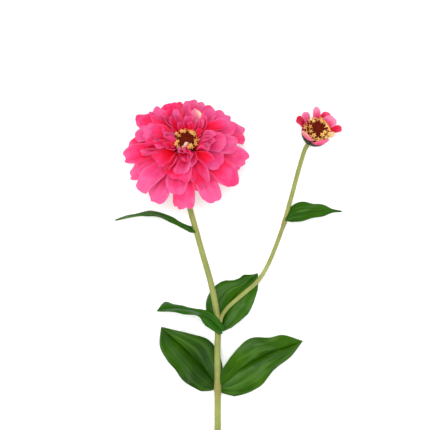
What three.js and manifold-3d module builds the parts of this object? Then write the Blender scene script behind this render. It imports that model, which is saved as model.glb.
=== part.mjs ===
// A cut zinnia lying on a table: one stem that forks, an open double bloom on the main
// branch, a half-open bud on the side branch, and six leaves. Every piece that grows
// separately is its own mesh: two stems, six leaves, the calyx, disc, florets and petals.
//
// Millimetres. +Z is up and the table is z = 0. +Y runs along the stem, from its cut end
// to the bloom. The origin is the middle of the plant's footprint, on the table.
import * as THREE from "three";
import { mergeVertices } from "three/addons/utils/BufferGeometryUtils.js";
import Module from "manifold-3d";

const wasm = await Module();
wasm.setup();

// ---------------------------------------------------------------- driving dimensions

const GAP = 0.3; // clear space between two pieces that touch on the plant
const PETAL_THICKNESS = 0.5;
const LEAF_THICKNESS = 0.8;

// A head is a bloom or a bud. Its origin is on its axis, where the lowest petals grow.
// It leans from upright by `lean`, towards the table direction `turn` from +Y.
const BLOOM = {
  origin: [-35, 105.4, 31.9],
  lean: 25.7,
  turn: 3,
  foot: -14, // the calyx's underside
  coreRadius: 10.9, // the cone that carries the petals, at its foot
  coreTaper: 0.154, // how much narrower the cone gets per millimetre of height
  coreTop: 14.5,
  discRadius: 5.8,
  discHeight: 4,
  floretReach: 9.3,
  florets: 20,
};
const BUD = {
  origin: [73.1, 121.7, 19.3],
  lean: 26,
  turn: 24,
  foot: -13.5,
  coreRadius: 8.6,
  coreTaper: 0.1,
  coreTop: 0,
  discRadius: 5.4,
  discHeight: 3,
  floretReach: 8.6,
  florets: 16,
};

// Each row of the bloom's petals, from the outside in. `rise` is the angle above level at
// which a petal leaves the cone and the angle that it has at its tip.
const ROWS = [
  { name: "outer_petal", count: 11, height: 0.6, length: 42.5, width: 24, rise: [12, -45], cup: 16 },
  { name: "second_row_petal", count: 11, height: 2.7, length: 38.5, width: 22, rise: [24, -36], cup: 18 },
  { name: "third_row_petal", count: 10, height: 4.8, length: 34, width: 20, rise: [36, -26], cup: 20 },
  { name: "fourth_row_petals", count: 11, height: 6.9, length: 29.5, width: 17, rise: [48, -14], cup: 20 },
  { name: "fifth_row_petals", count: 10, height: 9.0, length: 24.5, width: 14, rise: [58, 2], cup: 20 },
  { name: "sixth_row_petals", count: 9, height: 11.0, length: 18.5, width: 11, rise: [68, 22], cup: 18 },
  { name: "inner_row_petals", count: 7, height: 13.1, length: 12, width: 7.5, rise: [80, 50], cup: 14 },
];
const SEPARATE_ROWS = 3; // the rows whose petals are meshes of their own

const BUD_ROW = { count: 9, height: -4.2, length: 16, width: 10.5, rise: [76, 34], cup: 26 };

const MAIN_STEM = {
  route: [
    [-9, -148, 2.8],
    [-9, -120, 5.4],
    [-9, -91, 8],
    [-9.2, -62, 9.6],
    [-8.9, -40, 10.4],
    [-11.4, -20, 10.8],
    [-16, 0, 10.8],
    [-21.8, 20, 10.4],
    [-27.3, 40, 9.7],
    [-31.8, 56, 8.9],
    [-34.3, 72, 8.1],
    [-35, 84, 8.4],
    [-35, 91.5, 10.4],
    [-35, 96.2, 13.6],
  ],
  radius: [2.8, 2.2],
  nodes: [0.215, 0.42], // the swollen joints that leaves grow from, as shares of the length
  steps: 34,
};
const SIDE_STEM = {
  route: [
    [-7.8, -40, 10.3],
    [-5.2, -32, 10.7],
    [0.2, -24.8, 11],
    [7.6, -18.2, 11.1],
    [15.2, -11.8, 10.9],
    [22.8, -5.2, 10.6],
    [29.2, 3.3, 10.2],
    [34.8, 14, 9.6],
    [39.3, 25, 9],
    [43.5, 36.2, 8.3],
    [47.3, 47.2, 7.6],
    [50.6, 59.6, 6.7],
    [53.9, 71.2, 5.6],
    [56.8, 82, 4.4],
    [60.6, 95.2, 2.7],
    [64.2, 106.2, 1.8],
    [67.2, 111.4, 2.7],
    [69.5, 114.6, 4.8],
  ],
  radius: [1.65, 1.8],
  nodes: [0.574],
  steps: 34,
};

// A leaf's midrib, the way its upper face looks along the midrib, and its half-widths to
// the left and right of the midrib at equal steps from base to tip. `fold` is the angle
// by which each half rises from the midrib, and `droop` how far it curls back down.
const LEAVES = {
  lower_left_leaf: {
    midrib: [
      [-11, -90.5, 6.4],
      [-17.5, -81.5, 5],
      [-24, -74, 4.4],
      [-31.5, -66, 4.6],
      [-40, -57.5, 6],
      [-48.5, -50, 8],
      [-56, -42, 10],
    ],
    facing: [
      [0.1, 0.1, 1],
      [0.1, 0.1, 1],
      [0, -0.15, 1],
    ],
    left: [2.5, 15.5, 19, 18.4, 17.6, 11.8, 0.3],
    right: [2.5, 16, 19.2, 19.6, 13, 7.6, 0.3],
    fold: 9,
    droop: 0.08,
  },
  lower_right_leaf: {
    midrib: [
      [-7, -91.5, 8],
      [4.5, -82, 8.4],
      [15.5, -74, 8.6],
      [27, -67.5, 8.4],
      [38.5, -62.5, 7.6],
      [50, -58.5, 6.4],
      [62, -54, 5],
    ],
    facing: [
      [0.1, -0.2, 1],
      [0.1, -0.22, 1],
      [0, -0.1, 1],
    ],
    left: [2.5, 13.4, 17.6, 19.6, 13.4, 9.8, 0.3],
    right: [3.5, 17.5, 21.6, 18.4, 14.6, 8.6, 0.3],
    fold: 9,
    droop: 0.08,
  },
  middle_left_leaf: {
    midrib: [
      [-5.8, -45, 12.4],
      [-10.6, -40.5, 14.6],
      [-16.5, -34.5, 15.2],
      [-23.5, -30.5, 15],
      [-34, -27.6, 14.6],
      [-46, -26.6, 14],
      [-59.5, -28.5, 13],
    ],
    facing: [
      [0.25, 0.3, 1],
      [0.1, 1, 0.42],
      [0, 1, 0.7],
    ],
    left: [3, 7, 11, 13.4, 11, 9, 0.3],
    right: [3, 7, 8.6, 7, 3, 7.4, 0.3],
    fold: 18,
    droop: 0.1,
  },
  middle_right_leaf: {
    midrib: [
      [-6, -44, 6],
      [-3.5, -33.5, 4.6],
      [0, -24.5, 3.4],
      [5, -17, 2.8],
      [11, -10.5, 2.8],
      [18, -4, 3.6],
      [24.5, 2.5, 5],
    ],
    facing: [
      [0, 0, 1],
      [0, 0, 1],
      [0.05, -0.05, 1],
    ],
    left: [2.5, 15.5, 19.2, 17.2, 11.2, 7, 0.3],
    right: [2.5, 13, 18.2, 18.2, 14.7, 8.5, 0.3],
    fold: 7,
    droop: 0.08,
  },
  upper_left_leaf: {
    midrib: [
      [-28, 38.2, 10.6],
      [-38, 42.3, 10.6],
      [-48, 47.6, 10.6],
      [-60, 51.6, 10.2],
      [-72, 52, 9.4],
      [-84, 50, 8.2],
      [-95, 47, 6],
    ],
    facing: [
      [0.3, 1, 0.5],
      [0.1, 1, 0.28],
      [0, 1, 0.24],
    ],
    left: [4, 5, 6.6, 7.8, 5, 5.4, 0.3],
    right: [4, 5, 6.6, 7.8, 5, 5.4, 0.3],
    fold: 8,
    droop: 0.08,
  },
  upper_right_leaf: {
    midrib: [
      [47.6, 48, 9.2],
      [56, 52, 10],
      [64, 53.8, 10.4],
      [72, 54.6, 10.4],
      [80, 55, 9.6],
      [87.5, 54.8, 8.6],
      [95, 54.5, 7.4],
    ],
    facing: [
      [0, 0.65, 1],
      [0, 0.65, 1],
      [0, 0.5, 1],
    ],
    left: [3, 8.8, 10.2, 7.4, 5.6, 2, 0.3],
    right: [3, 7.8, 8.2, 6.4, 4.8, 1.8, 0.3],
    fold: 8,
    droop: 0.08,
  },
};

// ---------------------------------------------------------------------- the finishes

function finish(color, roughness) {
  return new THREE.MeshStandardMaterial({ color, roughness, metalness: 0 });
}
const STEM_GREEN = finish(0xa2aa5a, 0.55);
const LEAF_GREEN = finish(0x3c611e, 0.45);
const CALYX_GREEN = finish(0x33501c, 0.6);
const PETAL_PINK = finish(0xf2559a, 0.6);
const PETAL_ROSE = finish(0xe6376f, 0.6);
const DISC_MAROON = finish(0x741e0d, 0.7);
const FLORET_GOLD = finish(0xe3a546, 0.6);

// ---------------------------------------------------------------- thin curved sheets

// The point at (u, v) on a sheet, moved along the sheet's own normal by `offset`.
function offsetPoint(surface, u, v, offset) {
  const step = 1e-3;
  const alongU = surface(Math.min(u + step, 1), v).sub(surface(Math.max(u - step, 0), v));
  const alongV = surface(u, Math.min(v + step, 1)).sub(surface(u, Math.max(v - step, -1)));
  const normal = alongU.cross(alongV).normalize();
  return surface(u, v).addScaledVector(normal, offset);
}

// A closed solid of even thickness about surface(u, v), with u from 0 to 1 and v from -1
// to 1: an upper skin, a lower skin and a wall round the rim.
function sheetGeometry(surface, thickness, uSteps, vSteps) {
  const positions = [];
  for (const side of [1, -1]) {
    for (let i = 0; i <= uSteps; i++) {
      for (let j = 0; j <= vSteps; j++) {
        const v = (2 * j) / vSteps - 1;
        positions.push(...offsetPoint(surface, i / uSteps, v, (side * thickness) / 2));
      }
    }
  }
  const row = vSteps + 1;
  const skin = row * (uSteps + 1);
  const index = [];
  for (let i = 0; i < uSteps; i++) {
    for (let j = 0; j < vSteps; j++) {
      const a = i * row + j;
      const [b, c, d] = [a + row, a + row + 1, a + 1];
      index.push(a, b, c, a, c, d);
      index.push(a + skin, c + skin, b + skin, a + skin, d + skin, c + skin);
    }
  }
  const rim = [];
  for (let i = 0; i < uSteps; i++) rim.push(i * row);
  for (let j = 0; j < vSteps; j++) rim.push(uSteps * row + j);
  for (let i = uSteps; i > 0; i--) rim.push(i * row + vSteps);
  for (let j = vSteps; j > 0; j--) rim.push(j);
  rim.forEach((a, k) => {
    const b = rim[(k + 1) % rim.length];
    index.push(a, a + skin, b + skin, a, b + skin, b);
  });
  return new THREE.BufferGeometry()
    .setAttribute("position", new THREE.Float32BufferAttribute(positions, 3))
    .setIndex(index);
}

// ---------------------------------------------------------- joining and cutting solids

function solidOf(geometry) {
  const bare = geometry.clone();
  bare.deleteAttribute("normal");
  bare.deleteAttribute("uv");
  const merged = mergeVertices(bare, 1e-4);
  return new wasm.Manifold(
    new wasm.Mesh({
      numProp: 3,
      vertProperties: merged.attributes.position.array,
      triVerts: new Uint32Array(merged.index.array),
    }),
  );
}

function geometryOf(solid) {
  const { vertProperties, triVerts } = solid.getMesh();
  return new THREE.BufferGeometry()
    .setAttribute("position", new THREE.BufferAttribute(vertProperties, 3))
    .setIndex(new THREE.BufferAttribute(triVerts, 1));
}

// What is left of a geometry, as one piece, once it is cut clear of other geometries.
function cutClear(geometry, others) {
  let solid = solidOf(geometry);
  for (const other of others) solid = solid.subtract(solidOf(other));
  const pieces = solid.decompose().sort((a, b) => b.volume() - a.volume());
  return geometryOf(pieces[0]);
}

// ------------------------------------------------------------------------------ stems

// A closed tube along a curve, whose radius is radiusAt(share of the length).
function tubeGeometry(curve, radiusAt, steps, sides) {
  const { normals, binormals } = curve.computeFrenetFrames(steps, false);
  const positions = [];
  for (let i = 0; i <= steps; i++) {
    const centre = curve.getPointAt(i / steps);
    for (let j = 0; j < sides; j++) {
      const angle = (2 * Math.PI * j) / sides;
      const radius = radiusAt(i / steps);
      const point = centre
        .clone()
        .addScaledVector(normals[i], radius * Math.cos(angle))
        .addScaledVector(binormals[i], radius * Math.sin(angle));
      positions.push(...point);
    }
  }
  const ends = positions.length / 3;
  positions.push(...curve.getPointAt(0), ...curve.getPointAt(1));
  const index = [];
  for (let j = 0; j < sides; j++) {
    const next = (j + 1) % sides;
    for (let i = 0; i < steps; i++) {
      const [a, b] = [i * sides + j, i * sides + next];
      index.push(a, b, b + sides, a, b + sides, a + sides);
    }
    index.push(ends, next, j);
    index.push(ends + 1, steps * sides + j, steps * sides + next);
  }
  return new THREE.BufferGeometry()
    .setAttribute("position", new THREE.Float32BufferAttribute(positions, 3))
    .setIndex(index);
}

// The point on a head's axis that is `below` millimetres under its calyx.
function underCalyx(head, below) {
  return new THREE.Vector3(0, 0, head.foot - below).applyMatrix4(placeOf(head));
}

function placeOf({ origin, lean, turn }) {
  const rad = THREE.MathUtils.degToRad;
  const tilt = new THREE.Euler(-rad(lean), 0, -rad(turn), "ZXY");
  return new THREE.Matrix4().makeRotationFromEuler(tilt).setPosition(...origin);
}

const STRAIGHT_END = 2.5; // how much of a stem runs straight into its calyx
const NODE_SWELL = 0.4; // how far a swollen joint stands out
const NODE_SPREAD = 0.018; // half its length, as a share of the stem's

// A stem's tube, `extra` thicker all round.
function stemGeometry({ route, radius, nodes, steps }, head, extra = 0) {
  const points = route.map((p) => new THREE.Vector3(...p));
  points.push(underCalyx(head, STRAIGHT_END), underCalyx(head, GAP));
  const curve = new THREE.CatmullRomCurve3(points, false, "centripetal");
  const radiusAt = (share) => {
    const swell = nodes.map((at) => Math.exp(-(((share - at) / NODE_SPREAD) ** 2)));
    const taper = THREE.MathUtils.lerp(radius[0], radius[1], share);
    return taper + NODE_SWELL * swell.reduce((a, b) => a + b, 0) + extra;
  };
  return tubeGeometry(curve, radiusAt, steps, 8);
}

// ----------------------------------------------------------------------------- leaves

// A leaf is a midrib curve with a half on each side, folded up along the midrib into a
// shallow V whose edges curl back down.
function leafSurface({ midrib, facing, left, right, fold, droop }) {
  const rib = new THREE.CatmullRomCurve3(midrib.map((p) => new THREE.Vector3(...p)));
  const face = new THREE.CatmullRomCurve3(facing.map((p) => new THREE.Vector3(...p)));
  const outline = (widths) =>
    new THREE.SplineCurve(widths.map((w, i) => new THREE.Vector2(i / (widths.length - 1), w)));
  const halves = { left: outline(left), right: outline(right) };
  const angle = THREE.MathUtils.degToRad(fold);
  return (u, v) => {
    const along = rib.getTangent(u);
    const up = face.getPoint(u);
    up.addScaledVector(along, -up.dot(along)).normalize();
    const across = up.clone().cross(along);
    const half = (v > 0 ? halves.left : halves.right).getPoint(u).y * Math.abs(v);
    const rise = half * Math.sin(angle) - droop * half * Math.abs(v);
    return rib
      .getPoint(u)
      .addScaledVector(across, Math.sign(v) * half * Math.cos(angle))
      .addScaledVector(up, rise);
  };
}

// ----------------------------------------------------------------------------- petals

const TIP_ROUND = 0.3; // how much shorter a petal is at its sides than down its middle
const CLAW_SHARE = 0.3; // the petal's width at its base, as a share of its full width

// A petal that grows outwards from radius 0 in the XZ plane. Its middle line is an arc
// whose slope turns evenly from rise[0] to rise[1], and its section is an arc too, which
// turns up by `cup` at each side. It stays inside its own sector of the row.
function petalSurface({ count, length, width, rise, cup }, base) {
  const rad = THREE.MathUtils.degToRad;
  const [from, to] = rise.map(rad);
  const bend = rad(cup);
  return (u, v) => {
    const t = u * (1 - TIP_ROUND * Math.abs(v) ** 2.4);
    const slope = from + (to - from) * t;
    const r = base + (length * (Math.sin(slope) - Math.sin(from))) / (to - from);
    const z = (length * (Math.cos(from) - Math.cos(slope))) / (to - from);
    const spread = CLAW_SHARE + (1 - CLAW_SHARE) * Math.sin(Math.min(t / 0.72, 1) * (Math.PI / 2));
    const sector = 0.94 * r * Math.tan(Math.PI / count) - GAP;
    const half = Math.min((width / 2) * spread, sector);
    const lift = (half / bend) * (1 - Math.cos(bend * v));
    return new THREE.Vector3(
      r - lift * Math.sin(slope),
      (half / bend) * Math.sin(bend * v),
      z + lift * Math.cos(slope),
    );
  };
}

const coreRadiusAt = (head, z) => head.coreRadius - head.coreTaper * z;

// One petal of a row, at its height on the head's cone and pointing along +X.
function petalGeometry(head, row, uSteps, vSteps) {
  const base = coreRadiusAt(head, row.height) + GAP + PETAL_THICKNESS / 2;
  const surface = petalSurface(row, base);
  return sheetGeometry(surface, PETAL_THICKNESS, uSteps, vSteps).translate(0, 0, row.height);
}

// The angle of petal k. `start` turns the row so that rows lie between one another.
function petalAngle(row, k, start) {
  return start + (2 * Math.PI * k) / row.count;
}

// A whole row as one solid: its petals, joined by a thin collar round the cone.
function joinedRow(head, row, start) {
  const sides = 3 * row.count;
  const inner = (coreRadiusAt(head, row.height - 0.4) + GAP) / Math.cos(Math.PI / sides);
  const collar = new THREE.LatheGeometry(
    [
      [inner, -0.4],
      [inner + 0.7, -0.4],
      [inner + 0.7, 0.4],
      [inner, 0.4],
      [inner, -0.4],
    ].map(([r, z]) => new THREE.Vector2(r, z)),
    sides,
  )
    .rotateX(Math.PI / 2)
    .translate(0, 0, row.height);
  let solid = solidOf(collar);
  const petal = petalGeometry(head, row, 4, 3);
  for (let k = 0; k < row.count; k++) {
    solid = solid.add(solidOf(petal.clone().rotateZ(petalAngle(row, k, start))));
  }
  return geometryOf(solid);
}

// ------------------------------------------------------- calyx, disc and disc florets

// A solid of revolution about +Z, from [radius, height] points.
function turned(profile, sides) {
  const points = profile.map(([r, z]) => new THREE.Vector2(r, z));
  return new THREE.LatheGeometry(points, sides).rotateX(Math.PI / 2);
}

// The green cup under the petals and, in one piece with it, the cone that carries them.
function calyxGeometry({ foot, coreRadius, coreTaper, coreTop }, rim) {
  const top = coreRadius - coreTaper * coreTop;
  return turned(
    [
      [0, foot],
      [2.6, foot],
      [rim.radius * 0.62, foot + 1.6],
      [rim.radius * 0.9, foot + 5],
      [rim.radius, rim.height - 1.8],
      [rim.radius - 0.4, rim.height],
      [coreRadiusAt({ coreRadius, coreTaper }, rim.inside) - 0.02, rim.inside],
      [top, coreTop],
      [0, coreTop],
    ],
    22,
  );
}

function discGeometry({ discRadius, discHeight, coreTop }) {
  const foot = coreTop + GAP;
  return turned(
    [
      [0, foot],
      [discRadius, foot],
      [discRadius, foot + 0.3 * discHeight],
      [0.75 * discRadius, foot + 0.75 * discHeight],
      [0.4 * discRadius, foot + 0.95 * discHeight],
      [0, foot + discHeight],
    ],
    14,
  );
}

// The ring of disc florets in flower: a rim that rises outwards in one lobe per floret.
function floretRingGeometry({ discRadius, discHeight, coreTop, floretReach, florets }) {
  const inner = discRadius + GAP;
  const band = floretReach - inner;
  const steps = 2 * florets;
  const positions = [];
  for (let i = 0; i < steps; i++) {
    const angle = (2 * Math.PI * i) / steps;
    const lobe = i % 2 ? 1 : 0.55;
    const section = [
      [inner, 0],
      [inner + 0.6 * band, 0],
      [inner + lobe * band, discHeight * (0.4 + 0.8 * lobe)],
      [inner, discHeight * 0.7],
    ];
    for (const [r, z] of section) {
      positions.push(r * Math.cos(angle), r * Math.sin(angle), coreTop + GAP + z);
    }
  }
  const index = [];
  for (let i = 0; i < steps; i++) {
    const [a, b] = [4 * i, 4 * ((i + 1) % steps)];
    for (let j = 0; j < 4; j++) {
      const k = (j + 1) % 4;
      index.push(a + j, b + j, b + k, a + j, b + k, a + k);
    }
  }
  return new THREE.BufferGeometry()
    .setAttribute("position", new THREE.Float32BufferAttribute(positions, 3))
    .setIndex(index);
}

// ----------------------------------------------------------------------- the assembly

function addMesh(group, name, geometry, material) {
  const mesh = new THREE.Mesh(geometry, material);
  mesh.name = name;
  group.add(mesh);
  return mesh;
}

function headGroup(head) {
  const group = new THREE.Group();
  group.applyMatrix4(placeOf(head));
  return group;
}

function addPetals(group, name, head, row, start, material) {
  for (let k = 0; k < row.count; k++) {
    const number = String(k + 1).padStart(2, "0");
    const petal = addMesh(group, `${name}_${number}`, petalGeometry(head, row, 5, 4), material);
    petal.rotation.z = petalAngle(row, k, start);
  }
}

function makeBloom() {
  const bloom = headGroup(BLOOM);
  const rim = { radius: 13.4, height: -0.5, inside: 0 };
  addMesh(bloom, "bloom_calyx", calyxGeometry(BLOOM, rim), CALYX_GREEN);
  addMesh(bloom, "bloom_disc", discGeometry(BLOOM), DISC_MAROON);
  addMesh(bloom, "bloom_florets", floretRingGeometry(BLOOM), FLORET_GOLD);
  ROWS.forEach((row, i) => {
    const start = Math.PI / 2 + (Math.PI / row.count) * ((i + 1) % 2);
    if (i < SEPARATE_ROWS) addPetals(bloom, row.name, BLOOM, row, start, PETAL_PINK);
    else addMesh(bloom, row.name, joinedRow(BLOOM, row, start), PETAL_ROSE);
  });
  return bloom;
}

function makeBud() {
  const bud = headGroup(BUD);
  const rim = { radius: 11.4, height: -2.8, inside: -5.8 };
  addMesh(bud, "bud_calyx", calyxGeometry(BUD, rim), CALYX_GREEN);
  addMesh(bud, "bud_disc", discGeometry(BUD), DISC_MAROON);
  addMesh(bud, "bud_florets", floretRingGeometry(BUD), FLORET_GOLD);
  addPetals(bud, "bud_petal", BUD, BUD_ROW, Math.PI / 2, PETAL_PINK);
  return bud;
}

const zinnia = new THREE.Group();
const mainStem = stemGeometry(MAIN_STEM, BLOOM);
const roundMainStem = stemGeometry(MAIN_STEM, BLOOM, GAP);
const sideStem = stemGeometry(SIDE_STEM, BUD);
const roundSideStem = stemGeometry(SIDE_STEM, BUD, GAP);
addMesh(zinnia, "main_stem", mainStem, STEM_GREEN);
addMesh(zinnia, "side_stem", cutClear(sideStem, [roundMainStem]), STEM_GREEN);
for (const [name, leaf] of Object.entries(LEAVES)) {
  const blade = sheetGeometry(leafSurface(leaf), LEAF_THICKNESS, 8, 6);
  addMesh(zinnia, name, cutClear(blade, [roundMainStem, roundSideStem]), LEAF_GREEN);
}
zinnia.add(makeBloom(), makeBud());

export default zinnia;
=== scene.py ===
# %% [markdown]
# # A cut zinnia, lying on a table
# One forked stem carries an open double bloom, a half-open bud and six leaves. The packed
# CAD model is the frame: it fixes where each piece grows and how large it is. This script
# gives every piece its real surface: petals with pleats and curled edges, veined leaves,
# overlapping green scales, and the many small flowers of the yellow and maroon disc.

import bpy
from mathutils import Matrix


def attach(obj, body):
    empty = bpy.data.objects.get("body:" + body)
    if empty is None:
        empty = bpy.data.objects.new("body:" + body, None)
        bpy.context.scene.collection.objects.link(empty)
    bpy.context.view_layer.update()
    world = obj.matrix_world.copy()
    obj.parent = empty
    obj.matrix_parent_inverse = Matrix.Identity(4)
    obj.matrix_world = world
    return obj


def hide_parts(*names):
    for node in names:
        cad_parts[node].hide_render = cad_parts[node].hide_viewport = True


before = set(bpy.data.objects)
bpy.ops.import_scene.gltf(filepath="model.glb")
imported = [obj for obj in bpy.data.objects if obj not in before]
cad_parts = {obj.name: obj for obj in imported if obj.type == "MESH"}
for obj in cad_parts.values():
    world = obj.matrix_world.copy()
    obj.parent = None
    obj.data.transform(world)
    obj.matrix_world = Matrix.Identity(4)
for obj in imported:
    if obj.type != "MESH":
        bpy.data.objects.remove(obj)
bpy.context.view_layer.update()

# %% Tools
import math
from types import SimpleNamespace

import bpy
import numpy as np
from mathutils import Vector

MM = 0.001  # every size below is in millimetres, and Blender's unit is the metre
rng = np.random.default_rng(11)  # a fixed seed, so that each run grows the same flower


def add_object(name, data):
    """A new object in the scene."""
    made = bpy.data.objects.new(name, data)
    bpy.context.scene.collection.objects.link(made)
    return made


# %% [markdown]
# ## Camera, table and light
# The flower is seen from straight above, from so far away that it is hardly foreshortened.
# The main lamp hangs nearly over the bloom, so that its light reaches down between the petals
# and the shadows stay under the flower. Two weaker lamps at the sides and an even sky fill
# them. The white table glows a little, which makes them paler still.

# %% Camera
VIEW_CENTRE = (-11.2, 51.5)
VIEW_WIDTH = 357  # what the frame takes in, at the height of the stems
STEM_HEIGHT = 15
FOCAL_LENGTH = 120
SENSOR_WIDTH = 36

camera_data = bpy.data.cameras.new("camera")
camera_data.lens = FOCAL_LENGTH
camera_data.sensor_width = SENSOR_WIDTH
camera = add_object("camera", camera_data)
distance = VIEW_WIDTH * FOCAL_LENGTH / SENSOR_WIDTH
camera.location = (VIEW_CENTRE[0] * MM, VIEW_CENTRE[1] * MM, (STEM_HEIGHT + distance) * MM)
bpy.context.scene.camera = camera
print("camera height, m:", round(camera.location.z, 3))

# %% Table
TABLE_HALF = 3.0  # metres
LIGHT_WHITE = (1, 1, 1, 1)
TABLE_LOOKS = {"Base Color": (0.93, 0.93, 0.93, 1), "Roughness": 0.9,
               "Emission Color": LIGHT_WHITE, "Emission Strength": 0.16}


def start_material(name):
    """(material, tree, shader) for a new finish."""
    material = bpy.data.materials.new(name)
    material.use_nodes = True
    return material, material.node_tree, material.node_tree.nodes["Principled BSDF"]


table_mesh = bpy.data.meshes.new("table")
corners = TABLE_HALF * np.array([(-1, -1, 0), (1, -1, 0), (1, 1, 0), (-1, 1, 0)])
table_mesh.from_pydata(corners.tolist(), [], [(0, 1, 2, 3)])
table_white, _, table_shader = start_material("white_table")
for key, value in TABLE_LOOKS.items():
    table_shader.inputs[key].default_value = value
table_mesh.materials.append(table_white)
table = add_object("table", table_mesh)
print("table, m across:", 2 * TABLE_HALF)

# %% Light
LAMPS = {  # place and size of a square lamp in metres, and its power in watts
    "top_lamp": ((-0.1, 0.2, 1.7), 0.7, 17.5),
    "left_lamp": ((-1.25, -0.35, 0.9), 1.1, 6.5),
    "right_lamp": ((1.25, -0.1, 1.0), 1.2, 5.5),
}
LAMP_AIM = Vector((0, 0.05, 0))  # the middle of the flower
SKY_STRENGTH = 0.62

for name, (place, size, power) in LAMPS.items():
    lamp_data = bpy.data.lights.new(name, "AREA")
    lamp_data.size = size
    lamp_data.energy = power
    lamp = add_object(name, lamp_data)
    lamp.location = place
    lamp.rotation_euler = (LAMP_AIM - lamp.location).to_track_quat("-Z", "Y").to_euler()
world = bpy.data.worlds.new("sky")
world.use_nodes = True
sky = world.node_tree.nodes["Background"].inputs
sky["Color"].default_value = LIGHT_WHITE
sky["Strength"].default_value = SKY_STRENGTH
bpy.context.scene.world = world
bpy.context.scene.view_settings.view_transform = "Standard"
print("lamps:", len(LAMPS), "and an even sky")

# %% [markdown]
# ## Surfaces from formulas
# Petals, leaves and scales are all thin curved sheets. Each is a function of two numbers:
# u runs from the base (0) to the tip (1), and v from one edge (-1) across the middle (0) to
# the other edge (1). The function gives the sheet's middle. It becomes a closed shell with
# an upper skin, a lower skin and a thin wall round the rim.

# %% Grids and shells
def grid(u_steps, v_steps):
    """Two arrays, u from 0 to 1 down the rows and v from -1 to 1 along them."""
    return np.meshgrid(np.linspace(0, 1, u_steps + 1), np.linspace(-1, 1, v_steps + 1), indexing="ij")


def unit(vectors):
    """The same vectors, each one unit long."""
    return vectors / np.maximum(np.linalg.norm(vectors, axis=-1, keepdims=True), 1e-12)


def normals_of(points, ring=False):
    """The sheet's normal at each grid point: the cross product of its two grid directions."""
    across = points
    if ring:
        across = np.concatenate([points[:, -1:], points, points[:, :1]], axis=1)
    across = np.gradient(across, axis=1)
    return unit(np.cross(np.gradient(points, axis=0), across[:, 1:-1] if ring else across))


def shell(points, thickness, ring=False):
    """(vertices, quads, upper) of the closed shell about a grid of points.

    The skins lie half the thickness to each side of the middle, along its normal. Upper is 1
    on the upper skin and 0 on the lower one. Quads are wound to face outwards. In a ring the
    last column meets the first one, as in a trumpet.
    """
    rows, columns = points.shape[:2]
    offset = normals_of(points, ring) * (np.broadcast_to(thickness, (rows, columns))[..., None] / 2)
    vertices = np.concatenate([(points + offset).reshape(-1, 3), (points - offset).reshape(-1, 3)])
    ids = np.arange(rows * columns).reshape(rows, columns)
    if ring:
        ids = np.concatenate([ids, ids[:, :1]], axis=1)
        rims = [ids[0, ::-1], ids[-1]]
    else:
        rims = [np.concatenate([ids[:-1, 0], ids[-1, :-1], ids[:0:-1, -1], ids[0, ::-1]])]
    top = np.stack([ids[:-1, :-1], ids[1:, :-1], ids[1:, 1:], ids[:-1, 1:]], -1).reshape(-1, 4)
    skin = rows * columns
    walls = [np.stack([rim[:-1], rim[:-1] + skin, rim[1:] + skin, rim[1:]], -1) for rim in rims]
    upper = np.repeat([1.0, 0.0], skin)
    return vertices, np.concatenate([top, top[:, ::-1] + skin, *walls]), upper


# %% [markdown]
# A piece may be one shell, such as a leaf, or many, such as a row of petals. Each shell
# carries a map of its u and v, which of its faces is the upper one, how much of it is
# bleached, and a tone: one number for a petal, a floret or a leaf, so that no two of them
# have quite the same colour.

# %% Pieces
def new_part(vertices, faces, uv, upper, tone, pale=0):
    """Vertices and quads, with (u, v), upper, tone and pale for each vertex."""
    flags = {"upper": upper, "tone": tone, "pale": pale}
    flags = {key: value * np.ones(len(vertices)) for key, value in flags.items()}
    return {"vertices": vertices, "faces": faces, "uv": uv, **flags}


def sheet_part(points, thickness, u, v, tone, pale=0, ring=False):
    """A shell as a part."""
    vertices, faces, upper = shell(points, thickness, ring)
    uv = np.tile(np.stack([u.ravel(), (v.ravel() + 1) / 2], -1), (2, 1))
    return new_part(vertices, faces, uv, upper, tone, pale)


def loft_part(rings, tone):
    """A closed solid from rings that run anticlockwise and rise: an array (rings, points, 3).

    The points in a ring are even in number, so that each end can be closed by quads that
    take two steps of the ring and meet at its middle. u runs along the rings, and v round.
    """
    rows, columns = rings.shape[:2]
    ids = np.arange(rows * columns).reshape(rows, columns)
    ids = np.concatenate([ids, ids[:, :1]], axis=1)
    side = np.stack([ids[:-1, :-1], ids[:-1, 1:], ids[1:, 1:], ids[1:, :-1]], -1).reshape(-1, 4)
    pole = np.full(columns // 2, rows * columns)
    foot = np.stack([pole, ids[0, 2::2], ids[0, 1::2], ids[0, :-1:2]], -1)
    top = np.stack([pole + 1, ids[-1, :-1:2], ids[-1, 1::2], ids[-1, 2::2]], -1)
    vertices = np.concatenate([rings.reshape(-1, 3), rings[[0, -1]].mean(axis=1)])
    u, v = np.meshgrid(np.linspace(0, 1, rows), np.arange(columns) / columns, indexing="ij")
    uv = np.concatenate([np.stack([u.ravel(), v.ravel()], -1), [[0, 0.5], [1, 0.5]]])
    return new_part(vertices, np.concatenate([side, foot, top]), uv, 1, tone)


def joined(parts):
    """Several parts as one: each part's faces count on from the vertices before it."""
    starts = np.cumsum([0] + [len(part["vertices"]) for part in parts[:-1]])
    whole = {key: np.concatenate([part[key] for part in parts]) for key in parts[0] if key != "faces"}
    whole["faces"] = np.concatenate([part["faces"] + start for part, start in zip(parts, starts)])
    return whole


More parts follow.
